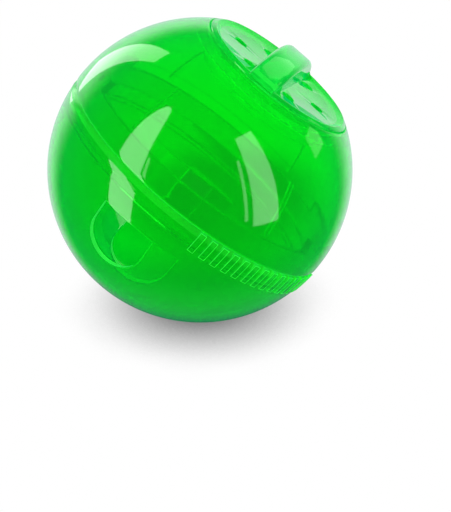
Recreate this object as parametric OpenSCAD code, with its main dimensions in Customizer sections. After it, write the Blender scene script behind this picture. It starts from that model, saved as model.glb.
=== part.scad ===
// Treat ball for a cat: a see-through plastic ball with a fill cap, whose lower half turns
// on an inner liner to open two windows. The ball's centre is the origin and +Z runs to the cap.

/* [Ball] */
// Outer radius of the ball
ball_r = 40; // [36:0.5:48]
// Wall of the two outer half shells
shell_wall = 2; // [1.8:0.1:2.6]

/* [Seam between the halves] */
// Height of the seam below the ball's centre
seam_drop = 0.85; // [0.4:0.05:2]
// Running gap between the two half shells
seam_gap = 0.3; // [0.2:0.05:0.5]
// Height of the sloping groove under the seam
groove_h = 1.6; // [1:0.1:2]
// Depth of the sloping groove at the lower shell's rim
groove_depth = 0.9; // [0.5:0.1:1.1]
// Bevel on the upper shell's outer edge
seam_bevel = 0.3; // [0.1:0.05:0.5]

/* [Inner liner] */
// Wall of the liner
liner_wall = 1.6; // [1.2:0.1:2]
// Running gap between the liner and the shells
liner_gap = 0.3; // [0.2:0.05:0.4]
// Height of the liner's rim above the ball's centre
liner_rim_z = 5.2; // [4:0.1:7]
// Rise of the two holding tabs above that rim
tab_rise = 3.5; // [2.5:0.1:5]
// Angle that each holding tab spans
tab_span = 58; // [30:1:80]
// Height of the catch ridge on a tab
catch_h = 1.4; // [1:0.1:1.8]
// Reach of the catch ridge out of the tab
catch_rise = 0.7; // [0.5:0.05:0.9]
// Clearance of the catch ridge in its pocket
catch_gap = 0.1; // [0.05:0.05:0.2]
// Angle left free at each end of a tab beside its ridge
catch_inset = 6; // [3:1:10]

/* [Snap bead] */
// Radius of the bead that the lower shell turns on
bead_r = 0.7; // [0.5:0.05:0.8]
// Height of the bead below the ball's centre
bead_drop = 5.4; // [4.5:0.1:6]

/* [Windows] */
// Width of a window
window_w = 16; // [12:0.5:18]
// Height of a window's flat top below the ball's centre
window_drop = 11.45; // [11:0.05:13]
// Height of a window from its flat top to its round bottom
window_h = 14.2; // [12:0.1:16]
// Windows round the ball
window_count = 2; // [1:1:2]
// Angle between the shell's and the liner's windows as drawn
part_open = 12; // [6:1:16]
// Turn of the lower shell that shuts the windows
shut_turn = 16; // [14:1:20]

/* [Turn stops] */
// Angle that a stop lug on the liner spans
stop_span = 5; // [3:0.5:8]
// Reach of a stop lug out of the liner
stop_rise = 0.9; // [0.7:0.05:1]
// Height of a stop lug
stop_h = 1.6; // [1:0.1:2]
// Height of a stop lug's middle below the ball's centre
stop_drop = 9.2; // [8.5:0.1:10]
// Angle left between a lug and its end stop
stop_slack = 0.6; // [0.4:0.1:1]

/* [Grip ribs] */
// Ribs in each grip band
rib_count = 14; // [8:1:16]
// Ribs that a band all round the ball would hold
rib_ring = 70; // [60:1:90]
// Share of the pitch that a rib fills
rib_share = 0.5; // [0.3:0.05:0.7]
// Reach of a rib out of the ball
rib_rise = 0.35; // [0.2:0.05:0.6]
// Height of the ribs' lower ends below the ball's centre
rib_drop = 7.1; // [6:0.1:8]
// Angle from a window's middle to the first rib
rib_start = 23.4; // [20:0.1:30]

/* [Stiffening ribs in the upper shell] */
// Width of a stiffening rib
inner_rib_w = 1.2; // [0.8:0.1:2]
// Reach of a stiffening rib into the ball
inner_rib_rise = 0.8; // [0.5:0.1:1.2]
// Height of the ribs' upper ends above the ball's centre
inner_rib_top = 20; // [15:0.5:22]
// Gap between the ribs' lower ends and the liner's rim
inner_rib_gap = 1.3; // [0.5:0.1:2]
// Angle from a liner window's middle to a stiffening rib
inner_rib_turn = 34; // [25:1:40]

/* [Fill cap] */
// Outer radius of the cap's rim
cap_r = 22.1; // [21:0.1:24]
// Radius of the cap's flat face inside the rim
face_r = 19.2; // [18:0.1:19.5]
// Height of the rim's crest above the cap's outer edge
rim_rise = 0.7; // [0.5:0.05:0.9]
// Depth of the flat face below the rim's crest
face_drop = 0.75; // [0.5:0.05:1]
// Rounding of the rim's crest
rim_round = 0.4; // [0.3:0.05:0.5]
// Depth of the cap's seat below the ball's surface
seat_depth = 1.9; // [1.6:0.1:2.4]
// Gap between the cap and its seat
seat_gap = 0.1; // [0.05:0.05:0.2]
// Gap round the cap's rim and skirt
cap_gap = 0.3; // [0.2:0.05:0.4]
// Turn of the cap's bar from the front
cap_turn = -3.1; // [-90:0.1:90]
// Air holes in the cap
vent_count = 6; // [4:1:6]
// Diameter of an air hole
vent_d = 3.9; // [2.5:0.1:4]
// Radius of the circle of air holes
vent_circle_r = 13; // [12:0.1:14]

/* [Grip bar on the cap] */
// Width of the bar's top
bar_w = 8.4; // [7:0.1:8.5]
// Width of the bar where it meets the face
bar_base_w = 8.8; // [8.5:0.1:9]
// Height of the bar's top above the ball's surface
bar_rise = 0.5; // [0.2:0.05:0.8]
// Rounding of the bar's shoulders
bar_round = 1.6; // [1:0.1:2]
// Radius of the fillets from the bar to the rim
bar_fillet = 3; // [2:0.1:4]
// Depth of those fillets below the ball's surface
bar_fillet_drop = 0.8; // [0.4:0.1:1.2]

/* [Neck and locking lugs] */
// Outer radius of the cap's skirt
skirt_r = 18.6; // [17:0.1:19]
// Wall of the cap's skirt
skirt_wall = 1.6; // [1.2:0.1:2]
// Depth of the skirt below the cap's seat
skirt_depth = 6.2; // [5.5:0.1:8]
// Wall of the neck round the skirt
neck_wall = 1.5; // [1.2:0.1:2]
// Depth of the neck below the cap's seat
neck_depth = 4.2; // [3:0.1:4.5]
// Locking lugs on the skirt
lug_count = 2; // [2:1:3]
// Angle that a lug spans
lug_span = 26; // [15:1:40]
// Height of a lug
lug_h = 1.5; // [1:0.1:1.8]
// Angle left at each side of a lug in its notch
lug_slack = 1.5; // [1:0.1:3]

/* [Hidden] */
$fn = 96;
front = -90;
bite = 0.5;
shell_in_r = ball_r - shell_wall;
liner_r = shell_in_r - liner_gap;
liner_in_r = liner_r - liner_wall;
seam_z = -seam_drop;
lower_top = seam_z - seam_gap;
groove_low = lower_top - groove_h;
groove_low_r = sqrt(pow(ball_r, 2) - pow(groove_low, 2));
bead_centre_r = sqrt(pow(liner_r, 2) - pow(bead_drop, 2));
tab_top = liner_rim_z + tab_rise;
catch_z = liner_rim_z + tab_rise / 2;
shell_window = front - part_open / 2;
liner_window = front + part_open / 2;
window_step = 360 / window_count;
window_top = -window_drop;
window_arc_z = window_top - window_h + window_w / 2;
rib_pitch = 360 / rib_ring;
rib_span = rib_pitch * rib_share;
stop_low = -stop_drop - stop_h / 2;
stop_high = -stop_drop + stop_h / 2;
cap_edge_z = sqrt(pow(ball_r, 2) - pow(cap_r, 2));
seat_z = cap_edge_z - seat_depth;
pocket_r = cap_r + cap_gap;
flange_low = seat_z + seat_gap;
rim_top = cap_edge_z + rim_rise;
crest_z = rim_top - rim_round;
crest_r = sqrt(pow(ball_r - rim_round, 2) - pow(crest_z, 2));
face_z = rim_top - face_drop;
bar_top_r = ball_r + bar_rise;
neck_bore_r = skirt_r + cap_gap;
neck_r = neck_bore_r + neck_wall;
lug_r = neck_r - cap_gap;
skirt_low = seat_z - skirt_depth;
shell_tint = [0.05, 0.78, 0.10, 0.55];
liner_tint = [0.05, 0.68, 0.16, 0.55];
cap_tint = [0.10, 0.80, 0.20, 0.6];

// Half section of a ball's wall between two heights
module wall_section(outer, inner, low, high) {
  intersection() {
    difference() {
      circle(outer);
      circle(inner);
    }
    translate([0, low])
      square([2 * outer, high - low]);
  }
}

// Piece of a revolved section, centred on a direction round the axis
module sector(middle, span) {
  rotate([0, 0, middle - span / 2])
    rotate_extrude(angle = span)
      children();
}

// Window outline: flat top, straight sides, round bottom
module window_outline() {
  translate([-window_w / 2, window_arc_z])
    square([window_w, window_top - window_arc_z]);
  translate([0, window_arc_z])
    circle(d = window_w);
}

// Level cuts through a wall for all windows, the first one in the given direction
module window_cuts(first) {
  for (i = [0 : window_count - 1])
    rotate([90, 0, 90 + first + i * window_step])
      translate([0, 0, ball_r / 2])
        linear_extrude(ball_r)
          window_outline();
}

// Section of the upper shell with the cap's pocket, its seat and the neck
module upper_section() {
  difference() {
    union() {
      wall_section(ball_r, shell_in_r, seam_z, ball_r);
      wall_section(ball_r, 0, seat_z - shell_wall, seat_z);
      translate([0, seat_z - neck_depth])
        square([neck_r, neck_depth]);
    }
    square([neck_bore_r, ball_r]);
    translate([0, seat_z])
      square([pocket_r, ball_r]);
    translate([ball_r, seam_z])
      rotate(45)
        square(seam_bevel * sqrt(2), center = true);
  }
}

// Rib inside the upper shell's wall
module stiffening_rib() {
  rotate([90, 0, 0])
    linear_extrude(inner_rib_w, center = true)
      wall_section(shell_in_r + bite, shell_in_r - inner_rib_rise, liner_rim_z + inner_rib_gap, inner_rib_top);
}

module upper_shell() {
  color(shell_tint)
    difference() {
      union() {
        rotate_extrude()
          upper_section();
        for (i = [0 : window_count - 1], side = [-1, 1])
          rotate([0, 0, liner_window + i * window_step + side * inner_rib_turn])
            stiffening_rib();
      }
      // Pockets that the liner's catch ridges click into
      for (side = [-90, 90])
        sector(liner_window + side, tab_span - 2 * catch_inset + 2 * catch_gap)
          wall_section(
            liner_r + catch_rise + catch_gap,
            shell_in_r - bite,
            catch_z - catch_h / 2 - catch_gap,
            catch_z + catch_h / 2 + catch_gap
          );
      // Notches in the neck that let the cap's lugs through
      for (i = [0 : lug_count - 1])
        sector(front + cap_turn + i * 360 / lug_count, lug_span + 2 * lug_slack)
          translate([neck_bore_r - bite, seat_z - neck_depth - bite])
            square([neck_wall + 2 * bite, neck_depth + 2 * bite]);
    }
}

// Section of the lower shell with the groove under the seam and the groove for the bead
module lower_section() {
  difference() {
    wall_section(ball_r, shell_in_r, -2 * ball_r, lower_top);
    polygon([
      [ball_r - groove_depth, lower_top],
      [groove_low_r, groove_low],
      [2 * ball_r, groove_low],
      [2 * ball_r, lower_top]
    ]);
    translate([bead_centre_r, -bead_drop])
      circle(bead_r + liner_gap);
  }
}

module lower_shell() {
  color(shell_tint)
    difference() {
      union() {
        rotate_extrude()
          lower_section();
        for (i = [0 : window_count - 1], k = [0 : rib_count - 1])
          sector(shell_window + i * window_step + rib_start + rib_span / 2 + k * rib_pitch, rib_span)
            wall_section(ball_r + rib_rise, ball_r - bite, -rib_drop, groove_low);
      }
      window_cuts(shell_window);
      // Pockets that let the liner's stop lugs travel from shut to fully open
      for (side = [-90, 90])
        sector(
          liner_window + side + (shut_turn - part_open) / 2,
          shut_turn + part_open + stop_span + 2 * stop_slack
        )
          wall_section(
            liner_r + stop_rise + liner_gap,
            shell_in_r - bite,
            stop_low - liner_gap,
            stop_high + liner_gap
          );
    }
}

// Section of the liner: a bowl with the bead that the lower shell turns on
module liner_section() {
  wall_section(liner_r, liner_in_r, -2 * liner_r, tab_top);
  translate([bead_centre_r, -bead_drop])
    circle(bead_r);
}

module inner_liner() {
  color(liner_tint)
    difference() {
      union() {
        rotate_extrude()
          liner_section();
        for (side = [-90, 90]) {
          sector(liner_window + side, tab_span - 2 * catch_inset)
            wall_section(liner_r + catch_rise, liner_r - bite, catch_z - catch_h / 2, catch_z + catch_h / 2);
          sector(liner_window + side, stop_span)
            wall_section(liner_r + stop_rise, liner_r - bite, stop_low, stop_high);
        }
      }
      // Low stretches of the rim between the holding tabs
      for (side = [0, 180])
        sector(liner_window + side, 180 - tab_span)
          translate([liner_in_r - shell_wall, liner_rim_z])
            square([liner_wall + 2 * shell_wall, 2 * tab_rise]);
      window_cuts(liner_window);
    }
}

// Point where a line from the given point touches the rounded crest, over it to one side
function crest_touch(from, side) =
  let (away = from - [crest_r, crest_z])
  let (turn = atan2(away.y, away.x) + side * acos(rim_round / norm(away)))
  [crest_r + rim_round * cos(turn), crest_z + rim_round * sin(turn)];

// Section of the cap: face plate, rim that carries on the ball's curve to a round crest, and skirt
module cap_section() {
  translate([0, flange_low])
    square([face_r + bite, face_z - flange_low]);
  polygon([
    [face_r, flange_low],
    [cap_r, flange_low],
    [cap_r, cap_edge_z],
    crest_touch([cap_r, cap_edge_z], 1),
    [crest_r, crest_z],
    crest_touch([face_r, face_z], -1),
    [face_r, face_z]
  ]);
  translate([crest_r, crest_z])
    circle(rim_round);
  translate([skirt_r - skirt_wall, skirt_low])
    square([skirt_wall, face_z - skirt_low]);
}

// Section across the grip bar, its top swept round the ball's centre
module bar_section() {
  shoulder = bar_w / 2 - bar_round;
  polygon([
    [face_z - bite, -bar_base_w / 2],
    [bar_top_r - bar_round, -bar_w / 2],
    [bar_top_r - bar_round, bar_w / 2],
    [face_z - bite, bar_base_w / 2]
  ]);
  translate([bar_top_r - 2 * bar_round, -shoulder])
    square([2 * bar_round, 2 * shoulder]);
  for (side = [-1, 1])
    translate([bar_top_r - bar_round, side * shoulder])
      circle(bar_round);
}

// Plan of the fillets between the bar's sides and the rim
module bar_fillet_plan() {
  for (side = [-1, 1])
    mirror([0, side < 0 ? 1 : 0])
      difference() {
        translate([face_r - bar_fillet, 0])
          square([cap_r - face_r + bar_fillet - rim_round, bar_base_w / 2 + bar_fillet]);
        translate([face_r - bar_fillet, bar_base_w / 2 + bar_fillet])
          circle(bar_fillet);
      }
}

// Grip bar along X: an arch as tall as the ball, with fillets into the rim at both ends
module grip_bar() {
  intersection() {
    rotate([90, 0, 0])
      rotate_extrude()
        bar_section();
    translate([0, 0, face_z - bite])
      cylinder(r = cap_r - rim_round, h = ball_r);
  }
  intersection() {
    for (turn = [0, 180])
      rotate([0, 0, turn])
        translate([0, 0, face_z - bite])
          linear_extrude(ball_r)
            bar_fillet_plan();
    sphere(ball_r - bar_fillet_drop);
  }
}

module fill_cap() {
  color(cap_tint)
    rotate([0, 0, front + cap_turn])
      difference() {
        union() {
          rotate_extrude()
            cap_section();
          grip_bar();
          for (i = [0 : lug_count - 1])
            sector(i * 360 / lug_count, lug_span)
              translate([skirt_r - bite, skirt_low])
                square([lug_r - skirt_r + bite, lug_h]);
        }
        for (i = [0 : vent_count - 1])
          rotate([0, 0, (i + 0.5) * 360 / vent_count])
            translate([vent_circle_r, 0, flange_low - bite])
              cylinder(d = vent_d, h = face_z - flange_low + 2 * bite);
      }
}

upper_shell();
lower_shell();
inner_liner();
fill_cap();
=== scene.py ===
import math
import bpy
from mathutils import Matrix, Vector


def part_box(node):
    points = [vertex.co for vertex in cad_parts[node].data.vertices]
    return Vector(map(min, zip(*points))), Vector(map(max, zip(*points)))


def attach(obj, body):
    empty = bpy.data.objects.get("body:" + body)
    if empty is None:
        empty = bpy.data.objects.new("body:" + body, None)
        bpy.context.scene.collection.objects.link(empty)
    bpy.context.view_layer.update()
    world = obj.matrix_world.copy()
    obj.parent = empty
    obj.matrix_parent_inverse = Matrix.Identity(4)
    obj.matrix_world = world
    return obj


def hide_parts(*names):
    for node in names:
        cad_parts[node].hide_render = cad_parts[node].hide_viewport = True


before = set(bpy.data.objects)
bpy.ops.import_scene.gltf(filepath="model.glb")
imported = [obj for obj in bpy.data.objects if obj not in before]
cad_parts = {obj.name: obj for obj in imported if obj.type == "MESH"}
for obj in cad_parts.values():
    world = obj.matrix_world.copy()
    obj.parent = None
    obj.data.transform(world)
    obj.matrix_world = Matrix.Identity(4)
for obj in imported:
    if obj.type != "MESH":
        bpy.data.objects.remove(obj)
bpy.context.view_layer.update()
mm = 0.001

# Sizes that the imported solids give
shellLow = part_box("upper_shell")[0]
lowerLow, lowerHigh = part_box("lower_shell")
linerLow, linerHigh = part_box("inner_liner")
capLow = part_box("fill_cap")[0]
ballR = -lowerLow.z
seamZ = shellLow.z
front = -90  # degrees, the windows' side of the ball

turning = {
    "segments": 280,  # round the ball, so that two segments make one grip rib
    "arcStep": 2.0,  # degrees of the ball's wall from ring to ring
    "shellWall": 2.0 * mm,
    "linerWall": 1.6 * mm,
    "partOpen": 12,  # degrees from the shell's windows to the liner's
}
making = {
    "weld": 0.002 * mm,  # corners nearer than this become one
    "level": 0.01 * mm,  # heights nearer than this count as the same
    "edgeAngle": 40,  # degrees from which an edge is rounded
    "smoothAngle": 35,  # degrees up to which faces shade as one
}
shellIn = ballR - turning["shellWall"]
linerR = -linerLow.z
linerIn = linerR - turning["linerWall"]
shellWindow = front - turning["partOpen"] / 2
linerWindow = front + turning["partOpen"] / 2
# Kinds of face, kept as material numbers while a piece is made,
# and how much painted light each kind gets: a lighter colour and a glow
wallFace, edgeFace, litFace, stripFace, cutFace = 0, 1, 2, 3, 4
paintedLightShares = {
    wallFace: 0.0,
    edgeFace: 0.8,
    litFace: 0.35,
    stripFace: 0.2,
    cutFace: 0.85,
}
print("frame: ball radius", round(ballR / mm, 2), "mm, seam at", round(seamZ / mm, 2), "mm")


def chooseOnly(piece):
    if bpy.context.object and bpy.context.object.mode != "OBJECT":
        bpy.ops.object.mode_set(mode="OBJECT")
    bpy.ops.object.select_all(action="DESELECT")
    piece.select_set(True)
    bpy.context.view_layer.objects.active = piece


def drawWire(name, points):
    bpy.ops.object.select_all(action="DESELECT")
    bpy.ops.mesh.primitive_plane_add(size=mm)
    piece = bpy.context.object
    piece.name = name
    for kind in paintedLightShares:
        piece.data.materials.append(None)
    bpy.ops.object.mode_set(mode="EDIT")
    bpy.ops.mesh.select_mode(type="VERT")
    bpy.ops.mesh.select_all(action="SELECT")
    bpy.ops.mesh.merge(type="CENTER")  # one corner is left, and the wire is pulled out of it
    bpy.ops.transform.translate(value=points[0])
    for last, point in zip(points, points[1:]):
        bpy.ops.mesh.extrude_region_move(TRANSFORM_OT_translate={"value": point - last})
    return piece


def fillOutline():
    bpy.ops.mesh.select_all(action="SELECT")
    bpy.ops.mesh.remove_doubles(threshold=making["weld"])
    bpy.ops.mesh.edge_face_add()


def tidyMesh(piece):
    bpy.ops.mesh.select_all(action="SELECT")
    bpy.ops.mesh.remove_doubles(threshold=making["weld"])
    bpy.ops.mesh.normals_make_consistent(inside=False)
    bpy.ops.object.mode_set(mode="OBJECT")
    return piece


def around(radius, height, degrees):
    turn = math.radians(degrees)
    return Vector((radius * math.cos(turn), radius * math.sin(turn), height))


def lathe(name, outline, start, span=360):
    piece = drawWire(name, [around(r, z, start) for r, z in outline])
    if span < 360:
        fillOutline()  # a part turn is a solid with two flat ends
    bpy.ops.mesh.select_all(action="SELECT")
    steps = max(4, round(turning["segments"] * span / 360))
    turn = -math.radians(span)  # a positive angle would spin clockwise
    bpy.ops.mesh.spin(steps=steps, angle=turn, center=(0, 0, 0), axis=(0, 0, 1))
    return tidyMesh(piece)


def bar(name, outline, depth):
    piece = drawWire(name, outline)
    fillOutline()
    bpy.ops.mesh.extrude_region_move(TRANSFORM_OT_translate={"value": depth})
    return tidyMesh(piece)


def arcPoints(centreR, centreZ, radius, startDegrees, endDegrees, step):
    sweep = endDegrees - startDegrees
    count = max(2, round(abs(sweep) / step))
    turns = [math.radians(startDegrees + sweep * i / count) for i in range(count + 1)]
    return [(centreR + radius * math.cos(t), centreZ + radius * math.sin(t)) for t in turns]


def wallPoints(radius, fromZ, toZ):
    angles = [math.degrees(math.asin(max(-1, min(1, z / radius)))) for z in (fromZ, toZ)]
    return arcPoints(0, 0, radius, angles[0], angles[1], turning["arcStep"])


def wallRing(outer, inner, low, high):
    ring = wallPoints(outer, low, high) + wallPoints(inner, high, low)
    return ring + ring[:1]


def box2(lowR, highR, low, high):
    return [(lowR, low), (highR, low), (highR, high), (lowR, high), (lowR, low)]


def combine(piece, other, operation):
    chooseOnly(piece)
    step = piece.modifiers.new("combine", "BOOLEAN")
    step.operation = operation
    step.solver = "EXACT"
    step.object = other
    bpy.ops.object.modifier_apply(modifier=step.name)
    bpy.data.meshes.remove(other.data)


def soften(piece, width, segments=2, kind=litFace):
    chooseOnly(piece)
    step = piece.modifiers.new("soften", "BEVEL")
    step.width = width
    step.segments = segments
    step.limit_method = "ANGLE"
    step.angle_limit = math.radians(making["edgeAngle"])
    step.use_clamp_overlap = True
    # the rounded edges get the given kind's painted light
    step.material = kind
    bpy.ops.object.modifier_apply(modifier=step.name)


def markEdges(piece):
    # each face keeps its share of painted light: a lighter colour and a glow
    paintedEdgeLight = piece.data.attributes.new("paintedEdgeLight", "FLOAT", "FACE")
    for polygon in piece.data.polygons:
        paintedEdgeLight.data[polygon.index].value = paintedLightShares[polygon.material_index]
        polygon.material_index = 0


def finishPiece(piece, body, node, material):
    chooseOnly(piece)
    bpy.ops.object.shade_smooth_by_angle(angle=math.radians(making["smoothAngle"]))
    markEdges(piece)
    piece.data.materials.clear()
    piece.data.materials.append(material)
    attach(piece, body)
    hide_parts(node)
    print("piece:", piece.name, len(piece.data.polygons), "faces")


# Window cut: flat top, straight sides and a round bottom, level through the wall
window = {
    "width": 16.0 * mm,
    "drop": 11.45 * mm,
    "height": 14.2 * mm,
    "count": 2,
    "arcStep": 5,
}


def cutWindows(piece, first):
    half = window["width"] / 2
    arcZ = half - window["drop"] - window["height"]
    outline = arcPoints(0, arcZ, half, 180, 360, window["arcStep"])
    outline += [(half, -window["drop"]), (-half, -window["drop"]), outline[0]]
    for i in range(window["count"]):
        turn = Matrix.Rotation(math.radians(first + i * 360 / window["count"]), 3, "Z")
        points = [turn @ Vector((ballR / 2, x, z)) for x, z in outline]
        cutter = bar("windowCutter", points, turn @ Vector((ballR, 0, 0)))
        # the window walls get painted light: a lighter colour and a glow
        for polygon in cutter.data.polygons:
            polygon.material_index = cutFace
        combine(piece, cutter, "DIFFERENCE")


# Upper shell: half ball with the cap's pocket, seat and neck
upper = {
    "pocketR": 22.4 * mm,
    "seatZ": 31.437 * mm,
    "neckBore": 18.9 * mm,
    "neckR": 20.4 * mm,
    "neckDepth": 4.2 * mm,
    "notchTurn": -3.1,
    "notchSpan": 29,
    "notchReach": 0.5 * mm,
    "ribTurn": 34,
    "ribWidth": 1.2 * mm,
    "ribRise": 0.8 * mm,
    "ribLow": 6.5 * mm,
    "ribHigh": 20 * mm,
    "catchR": 38.5 * mm,
    "catchZ": (6.15 * mm, 7.75 * mm),
    "catchSpan": 46.2,
    "edge": 0.3 * mm,
    "edgeSteps": 3,
    "bite": 0.5 * mm,
}


def makeUpperShell():
    seat = upper["seatZ"]
    underSeat = seat - turning["shellWall"]
    neckLow = seat - upper["neckDepth"]
    outline = wallPoints(ballR, seamZ, math.sqrt(ballR ** 2 - upper["pocketR"] ** 2))
    outline += [(upper["pocketR"], seat), (upper["neckBore"], seat), (upper["neckBore"], neckLow)]
    outline += [(upper["neckR"], neckLow), (upper["neckR"], underSeat)]
    outline += wallPoints(shellIn, underSeat, seamZ)
    outline += outline[:1]
    piece = lathe("upperShell", outline, shellWindow)
    soften(piece, upper["edge"], upper["edgeSteps"])
    bite = upper["bite"]
    for i in range(window["count"]):
        for side in (-1, 1):
            turn = linerWindow + i * 360 / window["count"] + side * upper["ribTurn"]
            inside = shellIn - upper["ribRise"]
            ring = wallRing(shellIn + bite, inside, upper["ribLow"], upper["ribHigh"])
            across = around(upper["ribWidth"], 0, turn + 90)
            rib = bar("rib", [around(r, z, turn) - across / 2 for r, z in ring], across)
            soften(rib, upper["edge"], kind=wallFace)
            combine(piece, rib, "UNION")
    for i in range(2):
        reach = upper["neckR"] + upper["notchReach"]
        notch = box2(upper["neckBore"] - bite, reach, neckLow - bite, seat + bite)
        start = front + upper["notchTurn"] + i * 180 - upper["notchSpan"] / 2
        combine(piece, lathe("notch", notch, start, upper["notchSpan"]), "DIFFERENCE")
        catch = wallRing(upper["catchR"], shellIn - bite, *upper["catchZ"])
        start = linerWindow + 90 + i * 180 - upper["catchSpan"] / 2
        combine(piece, lathe("catch", catch, start, upper["catchSpan"]), "DIFFERENCE")
    for polygon in piece.data.polygons:
        middle = polygon.center
        if middle.z > neckLow - bite and middle.xy.length < upper["pocketR"] + upper["edge"]:
            polygon.material_index = stripFace  # seat and neck get painted light round the cap: a lighter colour and a glow
    return piece


# Lower shell: half bowl with windows, grip ribs, the groove under the seam and the bead's groove
lower = {
    "top": lowerHigh.z,
    "grooveLow": -2.75 * mm,
    "grooveDepth": 0.9 * mm,
    "beadDrop": 5.4 * mm,
    "beadGroove": 1.0 * mm,
    "beadStep": 15,
    "ribStart": 23.4,
    "ribCount": 14,
    "ribSegments": 2,
    "ribLow": -7.1 * mm,
    "ribRise": 0.35 * mm,
    "ribOutline": 0.12 * mm,
    "ribFacing": 0.7,  # how squarely a rib's outer face looks outwards, where its sides are near 0
    "stopR": 38.9 * mm,
    "stopZ": (-10.3 * mm, -8.1 * mm),
    "stopSpan": 34.2,
    "stopTurn": 2,
    "bite": 0.5 * mm,
}


def beadArc(radius, clockwise):
    drop = lower["beadDrop"]
    centreR = math.sqrt(linerR ** 2 - drop ** 2)
    ends = (90, -90) if clockwise else (-90, 90)
    return arcPoints(centreR, -drop, radius, ends[0], ends[1], lower["beadStep"])


def makeLowerShell():
    outline = wallPoints(ballR, -ballR, lower["ribLow"])
    outline += wallPoints(ballR, lower["ribLow"], lower["grooveLow"])[1:]
    outline += [(ballR - lower["grooveDepth"], lower["top"])]
    beadRoom = [p for p in beadArc(lower["beadGroove"], True) if math.hypot(*p) > shellIn]
    outline += wallPoints(shellIn, lower["top"], beadRoom[0][1])
    outline += beadRoom
    outline += wallPoints(shellIn, beadRoom[-1][1], -shellIn)
    piece = lathe("lowerShell", outline, shellWindow + lower["ribStart"])
    raiseRibs(piece)
    cutWindows(piece, shellWindow)
    for i in range(2):
        pocket = wallRing(lower["stopR"], shellIn - lower["bite"], *lower["stopZ"])
        start = linerWindow + 90 + lower["stopTurn"] + i * 180 - lower["stopSpan"] / 2
        combine(piece, lathe("pocket", pocket, start, lower["stopSpan"]), "DIFFERENCE")
    return piece


def ribPlace(point):
    turn = math.degrees(math.atan2(point.y, point.x)) - shellWindow - lower["ribStart"]
    return (turn % 180) * turning["segments"] / 360  # in segments from its group's first rib


def clearChoice(kind):
    bpy.ops.object.mode_set(mode="EDIT")
    bpy.ops.mesh.select_mode(type=kind)
    bpy.ops.mesh.select_all(action="DESELECT")
    bpy.ops.object.mode_set(mode="OBJECT")


def raiseRibs(piece):
    chooseOnly(piece)
    clearChoice("FACE")
    for polygon in piece.data.polygons:
        middle = polygon.center
        place = int(ribPlace(middle))
        inBand = lower["ribLow"] < middle.z < lower["top"] and middle.xy.length > shellIn + mm
        inRib = place % (2 * lower["ribSegments"]) < lower["ribSegments"]
        inGroup = place < 2 * lower["ribSegments"] * lower["ribCount"]
        polygon.select = inBand and inRib and inGroup
    bpy.ops.object.mode_set(mode="EDIT")
    bpy.ops.mesh.extrude_region_move()
    grow = (ballR + lower["ribRise"]) / ballR
    bpy.ops.transform.resize(value=(grow, grow, 1), center_override=(0, 0, 0))
    bpy.ops.object.mode_set(mode="OBJECT")
    topZ = lower["top"] - making["level"]
    upperEnds = [v.index for v in piece.data.vertices if v.select and v.co.z > topZ]
    clearChoice("VERT")
    for index in upperEnds:
        piece.data.vertices[index].select = True
    bpy.ops.object.mode_set(mode="EDIT")
    # the ribs run on across the strip under the seam
    fill = ballR / (ballR - lower["grooveDepth"])
    bpy.ops.transform.resize(value=(fill, fill, 1), center_override=(0, 0, 0))
    clearChoice("FACE")
    proud = ballR + lower["ribRise"] / 2
    for polygon in piece.data.polygons:
        middle = polygon.center
        onTop = polygon.normal.dot(middle.normalized()) > lower["ribFacing"]
        polygon.select = onTop and middle.length > proud and middle.z > lower["ribLow"]
    bpy.ops.object.mode_set(mode="EDIT")
    bpy.ops.mesh.inset(thickness=lower["ribOutline"])  # fine outline of each rib's outer face
    bpy.ops.object.mode_set(mode="OBJECT")
    # painted light: rib sides, the outline round each rib's outer face and the strip under the
    # seam get a lighter colour and a glow
    for polygon in piece.data.polygons:
        middle = polygon.center
        if middle.xy.length < shellIn + mm or middle.z < lower["ribLow"] - making["level"]:
            continue
        if abs(polygon.normal.dot(middle.normalized())) < lower["ribFacing"]:
            polygon.material_index = litFace  # sides of the ribs, given painted light
        elif middle.length > proud and not polygon.select:
            polygon.material_index = edgeFace
        elif middle.z > lower["grooveLow"]:
            polygon.material_index = stripFace


# Liner: bowl inside the lower half, with a turning bead, holding tabs, catches and stop lugs
liner = {
    "rim": 5.2 * mm,
    "tabTop": linerHigh.z,
    "tabSpan": 58,
    "bead": 0.7 * mm,
    "catchR": 38.4 * mm,
    "catchZ": (6.25 * mm, 7.65 * mm),
    "catchSpan": 46,
    "stopR": 38.6 * mm,
    "stopZ": (-10.0 * mm, -8.4 * mm),
    "stopSpan": 5,
    "edge": 0.2 * mm,
    "bite": 0.5 * mm,
}


def makeLiner():
    bead = [p for p in beadArc(liner["bead"], False) if math.hypot(*p) > linerR]
    outline = wallPoints(linerR, -linerR, bead[0][1]) + bead
    outline += wallPoints(linerR, bead[-1][1], liner["tabTop"])
    outline += wallPoints(linerIn, liner["tabTop"], -linerIn)
    piece = lathe("innerLiner", outline, shellWindow)
    bite = liner["bite"]
    for side in (-90, 90):
        middle = linerWindow + side
        low = box2(linerIn - mm, linerR + mm, liner["rim"], 2 * liner["tabTop"])
        start = middle + liner["tabSpan"] / 2
        combine(piece, lathe("rimCut", low, start, 180 - liner["tabSpan"]), "DIFFERENCE")
        catch = wallRing(liner["catchR"], linerR - bite, *liner["catchZ"])
        start = middle - liner["catchSpan"] / 2
        combine(piece, lathe("catch", catch, start, liner["catchSpan"]), "UNION")
        stop = wallRing(liner["stopR"], linerR - bite, *liner["stopZ"])
        start = middle - liner["stopSpan"] / 2
        combine(piece, lathe("stop", stop, start, liner["stopSpan"]), "UNION")
    cutWindows(piece, linerWindow)
    soften(piece, liner["edge"])
    return piece


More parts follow.
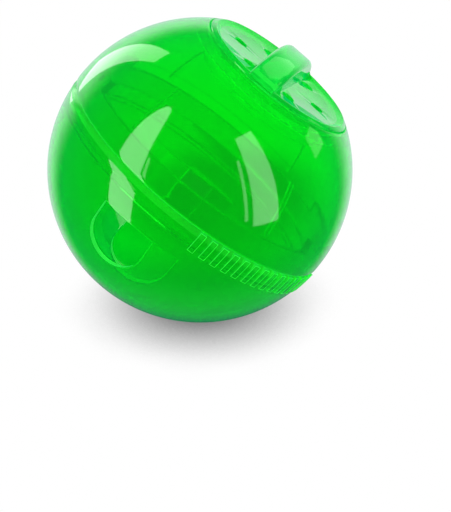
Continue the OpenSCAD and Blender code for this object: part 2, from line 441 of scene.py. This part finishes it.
# Fill cap: rim with a round crest, sunk face, air holes, skirt with lugs and an arched grip bar
cap = {
    "radius": 22.1 * mm,
    "faceR": 19.2 * mm,
    "rimRise": 0.7 * mm,
    "faceDrop": 0.75 * mm,
    "crest": 0.4 * mm,
    "crestStep": 12,
    "slopeFacing": 0.95,  # the rim's slope looks up less squarely than this
    "flangeLow": 31.537 * mm,
    "skirtR": 18.6 * mm,
    "skirtIn": 17.0 * mm,
    "skirtLow": capLow.z,
    "turn": -3.1,
    "vents": 6,
    "ventR": 1.95 * mm,
    "ventCircle": 13.0 * mm,
    "ventSides": 40,
    "ventCut": 10 * mm,
    "lugR": 20.1 * mm,
    "lugHeight": 1.5 * mm,
    "lugSpan": 26,
    "edge": 0.15 * mm,
    "bite": 0.5 * mm,
}
capEdgeZ = math.sqrt(ballR ** 2 - cap["radius"] ** 2)
faceZ = capEdgeZ + cap["rimRise"] - cap["faceDrop"]
gripBar = {
    "topR": ballR + 0.5 * mm,
    "topHalf": 4.2 * mm,
    "baseHalf": 4.4 * mm,
    "shoulder": 1.6 * mm,
    "shoulderStep": 18,
    "spinSteps": 72,
    "overrun": 4,  # degrees that the arch runs on before the cap's edge cuts it
    "fillet": 3.0 * mm,
    "filletStep": 10,
    "filletBallR": 39.2 * mm,
}


def makeGripBar():
    bite = cap["bite"]
    top = gripBar["topR"]
    half = gripBar["topHalf"]
    shoulder = gripBar["shoulder"]
    low = faceZ - bite
    section = [(low, -gripBar["baseHalf"])]
    step = gripBar["shoulderStep"]
    section += arcPoints(top - shoulder, shoulder - half, shoulder, -90, 0, step)
    section += arcPoints(top - shoulder, half - shoulder, shoulder, 0, 90, step)
    section += [(low, gripBar["baseHalf"]), section[0]]
    reach = math.degrees(math.acos(low / top)) + gripBar["overrun"]
    start = Matrix.Rotation(math.radians(-reach), 3, "Y")
    points = [start @ Vector((0, across, r)) for r, across in section]
    piece = drawWire("gripBar", points)
    fillOutline()
    steps = gripBar["spinSteps"]
    turn = -math.radians(2 * reach)
    bpy.ops.mesh.spin(steps=steps, angle=turn, center=(0, 0, 0), axis=(0, 1, 0))
    tidyMesh(piece)
    bpy.ops.object.select_all(action="DESELECT")
    bpy.ops.mesh.primitive_cylinder_add(
        vertices=turning["segments"],
        radius=cap["radius"] - cap["crest"],
        depth=ballR,
        location=(0, 0, low + ballR / 2),
    )
    combine(piece, bpy.context.object, "INTERSECT")
    return piece


def makeBarFillet(end, side):
    fillet = gripBar["fillet"]
    near = cap["faceR"] - fillet
    far = cap["radius"] - cap["crest"]
    wide = gripBar["baseHalf"] + fillet
    plan = [(near, 0), (far, 0), (far, wide)]
    plan += arcPoints(near, wide, fillet, 0, -90, gripBar["filletStep"])
    plan += plan[:1]
    low = faceZ - cap["bite"]
    corners = [Vector((end * x, side * y, low)) for x, y in plan]
    piece = bar("barFillet", corners, Vector((0, 0, ballR / 4)))  # tall enough to pass the ball
    topR = gripBar["filletBallR"]
    ball = lathe("filletBall", wallPoints(topR, -topR, topR), 0)
    combine(piece, ball, "INTERSECT")
    return piece


def crestTouch(r, z, side):
    crest = cap["crest"]
    crestZ = capEdgeZ + cap["rimRise"] - crest
    crestR = math.sqrt((ballR - crest) ** 2 - crestZ ** 2)
    away = Vector((r - crestR, z - crestZ))
    turn = math.atan2(away.y, away.x) + side * math.acos(crest / away.length)
    return crestR, crestZ, math.degrees(turn)


def makeCap():
    bite = cap["bite"]
    crestR, crestZ, inner = crestTouch(cap["faceR"], faceZ, -1)
    outer = crestTouch(cap["radius"], capEdgeZ, 1)[2]
    inner = inner % 360
    outline = [(0, faceZ), (cap["faceR"], faceZ)]
    outline += arcPoints(crestR, crestZ, cap["crest"], inner, outer, cap["crestStep"])
    outline += [(cap["radius"], capEdgeZ), (cap["radius"], cap["flangeLow"])]
    outline += [(cap["skirtR"], cap["flangeLow"]), (cap["skirtR"], cap["skirtLow"])]
    outline += [(cap["skirtIn"], cap["skirtLow"]), (cap["skirtIn"], cap["flangeLow"])]
    outline += [(0, cap["flangeLow"])]
    piece = lathe("fillCap", outline, 0)
    combine(piece, makeGripBar(), "UNION")
    for end in (-1, 1):
        for side in (-1, 1):
            combine(piece, makeBarFillet(end, side), "UNION")
    for i in range(2):
        lugTop = cap["skirtLow"] + cap["lugHeight"]
        lug = box2(cap["skirtR"] - bite, cap["lugR"], cap["skirtLow"], lugTop)
        start = i * 180 - cap["lugSpan"] / 2
        combine(piece, lathe("lug", lug, start, cap["lugSpan"]), "UNION")
    for i in range(cap["vents"]):
        place = around(cap["ventCircle"], faceZ, (i + 0.5) * 360 / cap["vents"])
        bpy.ops.object.select_all(action="DESELECT")
        bpy.ops.mesh.primitive_cylinder_add(
            vertices=cap["ventSides"], radius=cap["ventR"], depth=cap["ventCut"], location=place
        )
        combine(piece, bpy.context.object, "DIFFERENCE")
    soften(piece, cap["edge"])
    # painted light: the skirt and the rim's inner slope get a lighter colour and a glow, and no
    # coat gloss
    for polygon in piece.data.polygons:
        middle = polygon.center
        sloping = polygon.normal.z < cap["slopeFacing"]
        rimSlope = sloping and cap["faceR"] < middle.xy.length < crestR
        if middle.z < cap["flangeLow"] + cap["edge"] or rimSlope:
            polygon.material_index = stripFace
    piece.data.transform(Matrix.Rotation(math.radians(front + cap["turn"]), 4, "Z"))
    return piece


# One output of a shader's nodes, with sums written as sums
class Wire:
    def __init__(self, tree, socket=None):
        self.tree = tree
        self.socket = socket

    def add(self, kind, settings=None, inputs=None, output=0):
        made = self.tree.nodes.new(kind)
        for key, value in (settings or {}).items():
            setattr(made, key, value)
        for key, value in (inputs or {}).items():
            if isinstance(value, Wire):
                self.tree.links.new(value.socket, made.inputs[key])
            else:
                made.inputs[key].default_value = value
        return Wire(self.tree, made.outputs[output] if len(made.outputs) else None)

    def maths(self, operation, first, second):
        return self.add("ShaderNodeMath", {"operation": operation}, {0: first, 1: second})

    def __add__(self, other):
        return self.maths("ADD", self, other)

    def __radd__(self, other):
        return self.maths("ADD", other, self)

    def __sub__(self, other):
        return self.maths("SUBTRACT", self, other)

    def __rsub__(self, other):
        return self.maths("SUBTRACT", other, self)

    def __mul__(self, other):
        return self.maths("MULTIPLY", self, other)

    def __rmul__(self, other):
        return self.maths("MULTIPLY", other, self)


def newMaterial(name):
    material = bpy.data.materials.new(name)
    material.use_nodes = True
    material.node_tree.nodes.clear()
    return material, Wire(material.node_tree)


plastic = {
    # painted light on edges, cuts and strips: a lighter colour and a glow
    "paintedEdgeColour": (0.04, 1.0, 0.06, 1),
    "edgeGlow": (0.03, 0.42, 0.04, 1),
    "ior": 1.49,
    "mirrorTint": (0.02, 0.15, 0.05, 1),
    "roughness": 0.03,
    "smudgeRoughness": 0.04,
    "edgeRoughness": 0.6,
    "edgeDulling": 5,  # lit edges and strips show no sharp gloss
    "cloudScale": 45,
    "cloudDetail": 3,
    "smudgeScale": 160,
    "smudgeDetail": 5,
    "ripple": 0.05,
    "rippleDepth": 0.05 * mm,
    "haze": 0.6,
    "hazeTint": (0.0, 1.0, 0.4, 1),
    "hazeRoughness": 0.48,
}
shellFinish = {
    "tint": (0.006, 0.89, 0.012, 1),
    "deepTint": (0.004, 0.82, 0.008, 1),
    "glow": (0.0, 0.055, 0.002, 1),
    "clear": 0.92,
    "coat": 1.0,
    "gloss": 0.06,
}
linerFinish = {
    "tint": (0.006, 0.84, 0.15, 1),
    "deepTint": (0.004, 0.76, 0.11, 1),
    "glow": (0.0, 0.02, 0.004, 1),
    "clear": 0.92,
    "coat": 0.25,
    "gloss": 0.06,
}
capFinish = {
    "tint": (0.012, 0.86, 0.06, 1),
    "deepTint": (0.008, 0.78, 0.04, 1),
    "glow": (0.0, 0.05, 0.008, 1),
    "clear": 0.85,
    "coat": 0.65,
    "gloss": 0.07,
}


def blend(ink, share, first, second):
    inputs = {"Factor": share, "A": first, "B": second}
    return ink.add("ShaderNodeMix", {"data_type": "RGBA"}, inputs, output=2)


def noise(ink, place, scale, detail):
    inputs = {"Vector": place, "Scale": scale, "Detail": detail}
    return ink.add("ShaderNodeTexNoise", {}, inputs)


def makePlastic(name, finish):
    material, ink = newMaterial(name)
    place = ink.add("ShaderNodeTexCoord", output="Object")
    clouds = noise(ink, place, plastic["cloudScale"], plastic["cloudDetail"])
    smudges = noise(ink, place, plastic["smudgeScale"], plastic["smudgeDetail"])
    # painted light: edges, cuts and strips are blended toward a lighter colour and a glow
    edge = ink.add("ShaderNodeAttribute", {"attribute_name": "paintedEdgeLight"}, output="Fac")
    wall = blend(ink, clouds, finish["tint"], finish["deepTint"])
    colour = blend(ink, edge, wall, plastic["paintedEdgeColour"])
    glow = blend(ink, edge, finish["glow"], plastic["edgeGlow"])
    rough = plastic["roughness"] + smudges * plastic["smudgeRoughness"]
    rough = rough + edge * plastic["edgeRoughness"]
    shine = ink.maths("MAXIMUM", 0.0, 1 - edge * plastic["edgeDulling"]) * finish["coat"]
    ripple = ink.add(
        "ShaderNodeBump",
        {},
        {"Strength": plastic["ripple"], "Distance": plastic["rippleDepth"], "Height": clouds},
    )
    body = ink.add(
        "ShaderNodeBsdfPrincipled",
        {},
        {
            "Base Color": colour,
            "Roughness": rough,
            "IOR": plastic["ior"],
            "Specular Tint": plastic["mirrorTint"],
            "Transmission Weight": finish["clear"],
            "Coat Weight": shine,
            "Coat Roughness": finish["gloss"],
            "Sheen Weight": plastic["haze"],
            "Sheen Tint": plastic["hazeTint"],
            "Sheen Roughness": plastic["hazeRoughness"],
            "Emission Color": glow,
            "Emission Strength": 1.0,
            "Normal": ripple,
        },
    )
    ink.add("ShaderNodeOutputMaterial", {}, {"Surface": body})
    return material


# Camera from the photograph: the ball's outline, its axis and the turn of its front
photo = {
    "width": 451,
    "height": 512,
    "ballX": 200.0,
    "ballY": 170.1,
    "ballPixels": 152.6,
    "distance": 18.0,  # in ball radii
    "axisLean": 40.1,
    "axisTowards": 17.1,
    "frontTurn": 87.4,
    "cameraDrop": 30,  # degrees that the camera looks down at the floor
    "sensor": 36,
}


def makeCamera():
    focal = photo["ballPixels"] / math.tan(math.asin(1 / photo["distance"]))
    sideways = (photo["ballX"] - photo["width"] / 2) / focal
    upwards = (photo["height"] / 2 - photo["ballY"]) / focal
    centre = Vector((sideways, upwards, -1)).normalized() * photo["distance"] * ballR
    lean = math.radians(photo["axisLean"])
    towards = math.radians(photo["axisTowards"])
    level = math.cos(towards)
    axis = Vector((math.sin(lean) * level, math.cos(lean) * level, math.sin(towards)))
    near = -centre - axis * axis.dot(-centre)
    near.normalize()
    turn = math.radians(photo["frontTurn"])
    across = near * math.cos(turn) + axis.cross(near) * math.sin(turn)
    ballToCamera = Matrix((across, axis.cross(across), axis)).transposed().to_4x4()
    ballToCamera.translation = centre
    data = bpy.data.cameras.new("camera")
    data.sensor_fit = "VERTICAL"
    data.sensor_height = photo["sensor"]
    data.lens = data.sensor_height * focal / photo["height"]
    camera = bpy.data.objects.new("camera", data)
    bpy.context.scene.collection.objects.link(camera)
    camera.matrix_world = ballToCamera.inverted()
    bpy.context.scene.camera = camera
    return camera


camera = makeCamera()
look = camera.matrix_world.to_3x3()
drop = math.radians(photo["cameraDrop"])
upright = look @ Vector((0, math.cos(drop), math.sin(drop)))
towardsCamera = look @ Vector((0, -math.sin(drop), math.cos(drop)))
rightHand = look @ Vector((1, 0, 0))
print("camera: lens", round(camera.data.lens, 1), "mm")

shellPlastic = makePlastic("shellPlastic", shellFinish)
linerPlastic = makePlastic("linerPlastic", linerFinish)
capPlastic = makePlastic("capPlastic", capFinish)
finishPiece(makeUpperShell(), "upper_half", "upper_shell", shellPlastic)
finishPiece(makeLowerShell(), "lower_half", "lower_shell", shellPlastic)
finishPiece(makeLiner(), "upper_half", "inner_liner", linerPlastic)
finishPiece(makeCap(), "cap", "fill_cap", capPlastic)

# Studio: a white floor under the ball as it lies in the photograph, and soft boxes round it
studio = {
    "floorR": 0.6,
    "floorSides": 96,
    "floorGap": 0.1 * mm,
    "fadeFrom": 0.10,
    "fadeTo": 0.32,
    # floor's brightness where the ball hides all the sky, and its rise from there
    "shade": (0.05, 1.75),
    "shadeSamples": 16,
    "floorBounce": 0.4,  # floor's brightness to the plastic's own light
    "floorGloss": 0.08,  # and to its gloss, which sees only the floor's middle
    "glossFrom": 0.015,
    "glossTo": 0.06,
    "floorThrough": 0.3,  # and through its clear walls, darkened by a painted shade at a spot behind the ball
    "paintedShadeSpot": (0.007, 0.057, 0),
    "throughFrom": 0.02,
    "throughTo": 0.042,
    "worldDiffuse": 0.70,
    "backdrop": 0.85,  # what gloss shows low down behind the ball
    "darkStudio": 0.02,  # what gloss shows above the backdrop and behind the camera
    "backdropSide": (-0.5, -0.85),  # where it sets in and is full, from front (1) to back (-1)
    "backdropRise": (0.5, 0.1),  # the same from the zenith (1) down to the floor (0)
}
softBoxes = {
    # shape, degrees round from the camera, degrees of width,
    # lowest and highest degrees up, brightness
    "leftBox": ("ELLIPSE", -57, 24, -34, 67, 3.15),
    "rightBox": ("RECTANGLE", 47, 19, -17, 46, 3.15),
    "rightStrip": ("RECTANGLE", 32.5, 2.2, -12, 31, 2.5),
    "leftStrip": ("RECTANGLE", -42.5, 2.2, 14, 30, 2.5),
    "backBox": ("RECTANGLE", -150, 15, -2, 50, 2.0),
    "sideBox": ("RECTANGLE", 103, 14, 3, 16, 0.8),
    "capBox": ("RECTANGLE", 136, 24, 16, 44, 0.75),
}
topBox = {"round": 180, "up": 70, "distance": 0.9, "size": 1.1, "watts": 2.5}
boxDistance = 0.55


def softStep(ink, value, start, end, low=0.0):
    return ink.add(
        "ShaderNodeMapRange",
        {"interpolation_type": "SMOOTHSTEP"},
        {"Value": value, "From Min": start, "From Max": end, "To Min": low},
    )


def lightPath(ink, kind):
    return ink.add("ShaderNodeLightPath", output=kind)


def vectorValue(ink, operation, first, second):
    inputs = {0: first, 1: second}
    return ink.add("ShaderNodeVectorMath", {"operation": operation}, inputs, output="Value")


def makeFloor():
    bpy.ops.object.select_all(action="DESELECT")
    bpy.ops.mesh.primitive_circle_add(
        vertices=studio["floorSides"], radius=studio["floorR"], fill_type="NGON"
    )
    floor = bpy.context.object
    floor.name = "floor"
    turn = Matrix((rightHand, upright.cross(rightHand), upright)).transposed().to_4x4()
    turn.translation = -upright * (ballR + studio["floorGap"])
    floor.matrix_world = turn
    material, ink = newMaterial("whiteFloor")
    place = ink.add("ShaderNodeTexCoord", output="Object")
    away = ink.add("ShaderNodeVectorMath", {"operation": "LENGTH"}, {0: place}, output="Value")
    fade = softStep(ink, away, studio["fadeFrom"], studio["fadeTo"])
    behind = ink.add("ShaderNodeNewGeometry", output="Backfacing")
    seen = lightPath(ink, "Is Camera Ray")
    through = lightPath(ink, "Is Transmission Ray")
    # a ray through a slightly rough wall counts as both kinds
    mirrored = lightPath(ink, "Is Glossy Ray") * (1 - through)
    glossEnd = softStep(ink, away, studio["glossFrom"], studio["glossTo"])
    gone = ink.maths("MAXIMUM", ink.maths("MAXIMUM", fade, behind), mirrored * glossEnd)
    # painted shade: a dark spot on the floor, seen only through the clear walls
    fromSpot = vectorValue(ink, "DISTANCE", place, studio["paintedShadeSpot"])
    spotEnds = (studio["throughFrom"], studio["throughTo"])
    paintedShadeLevel = softStep(ink, fromSpot, *spotEnds, studio["floorThrough"])
    openSky = ink.add(
        "ShaderNodeAmbientOcclusion", {"samples": studio["shadeSamples"]}, output="AO"
    )
    shade = ink.maths("MINIMUM", openSky * studio["shade"][1] + studio["shade"][0], 1.0)
    shown = ink.maths("MAXIMUM", seen, through * paintedShadeLevel)
    glossDrop = studio["floorGloss"] - studio["floorBounce"]
    unseen = mirrored * glossDrop + studio["floorBounce"]
    level = shade * (shown + (1 - ink.maths("MAXIMUM", seen, through)) * unseen)
    paint = ink.add("ShaderNodeEmission", {}, {"Color": (1, 1, 1, 1), "Strength": level})
    clear = ink.add("ShaderNodeBsdfTransparent")
    mix = ink.add("ShaderNodeMixShader", {}, {0: gone, 1: paint, 2: clear})
    ink.add("ShaderNodeOutputMaterial", {}, {"Surface": mix})
    floor.data.materials.append(material)


def addLamp(name, shape, place, facing, width, height, watts):
    across = upright.cross(facing).normalized()
    data = bpy.data.lights.new(name, "AREA")
    data.shape = shape
    data.size = width
    data.size_y = height
    data.energy = watts
    lamp = bpy.data.objects.new(name, data)
    bpy.context.scene.collection.objects.link(lamp)
    turn = Matrix((across, facing.cross(across), facing)).transposed().to_4x4()
    lamp.matrix_world = Matrix.Translation(place) @ turn
    lamp.visible_camera = False
    return lamp


def makeLamps():
    for name, (shape, degreesRound, degreesWide, lowest, highest, brightness) in softBoxes.items():
        turn = math.radians(degreesRound)
        level = towardsCamera * math.cos(turn) + rightHand * math.sin(turn)
        low = boxDistance * math.tan(math.radians(lowest))
        high = boxDistance * math.tan(math.radians(highest))
        width = 2 * boxDistance * math.tan(math.radians(degreesWide / 2))
        watts = brightness * math.pi * width * (high - low)
        place = level * boxDistance + upright * (low + high) / 2
        box = addLamp(name, shape, place, level, width, high - low, watts)
        box.visible_diffuse = False  # shows in the gloss alone
        box.visible_transmission = False
    turn = math.radians(topBox["round"])
    rise = math.radians(topBox["up"])
    level = towardsCamera * math.cos(turn) + rightHand * math.sin(turn)
    facing = level * math.cos(rise) + upright * math.sin(rise)
    place = facing * topBox["distance"]
    size = topBox["size"]
    above = addLamp("topBox", "RECTANGLE", place, facing, size, size, topBox["watts"])
    above.data.use_shadow = False  # clear walls let its light through
    above.visible_glossy = False
    above.visible_transmission = False


def makeWorld():
    world = bpy.data.worlds.new("studio")
    bpy.context.scene.world = world
    world.use_nodes = True
    world.node_tree.nodes.clear()
    ink = Wire(world.node_tree)
    mirrored = lightPath(ink, "Is Glossy Ray")
    shown = ink.maths(
        "MAXIMUM", lightPath(ink, "Is Camera Ray"), lightPath(ink, "Is Transmission Ray")
    )
    ray = ink.add("ShaderNodeTexCoord", output="Generated")
    forward = vectorValue(ink, "DOT_PRODUCT", ray, towardsCamera)
    height = vectorValue(ink, "DOT_PRODUCT", ray, upright)
    back = softStep(ink, forward, *studio["backdropSide"])
    low = softStep(ink, height, *studio["backdropRise"])
    backdropRange = studio["backdrop"] - studio["darkStudio"]
    backdrop = back * low * backdropRange + studio["darkStudio"]
    unseen = mirrored * backdrop + (1 - mirrored) * studio["worldDiffuse"]
    strength = shown + (1 - shown) * unseen
    sky = ink.add("ShaderNodeBackground", {}, {"Color": (1, 1, 1, 1), "Strength": strength})
    ink.add("ShaderNodeOutputWorld", {}, {"Surface": sky})


makeFloor()
makeLamps()
makeWorld()
bpy.context.scene.view_settings.view_transform = "Standard"
print("studio: floor,", len(softBoxes), "soft boxes and a white world")
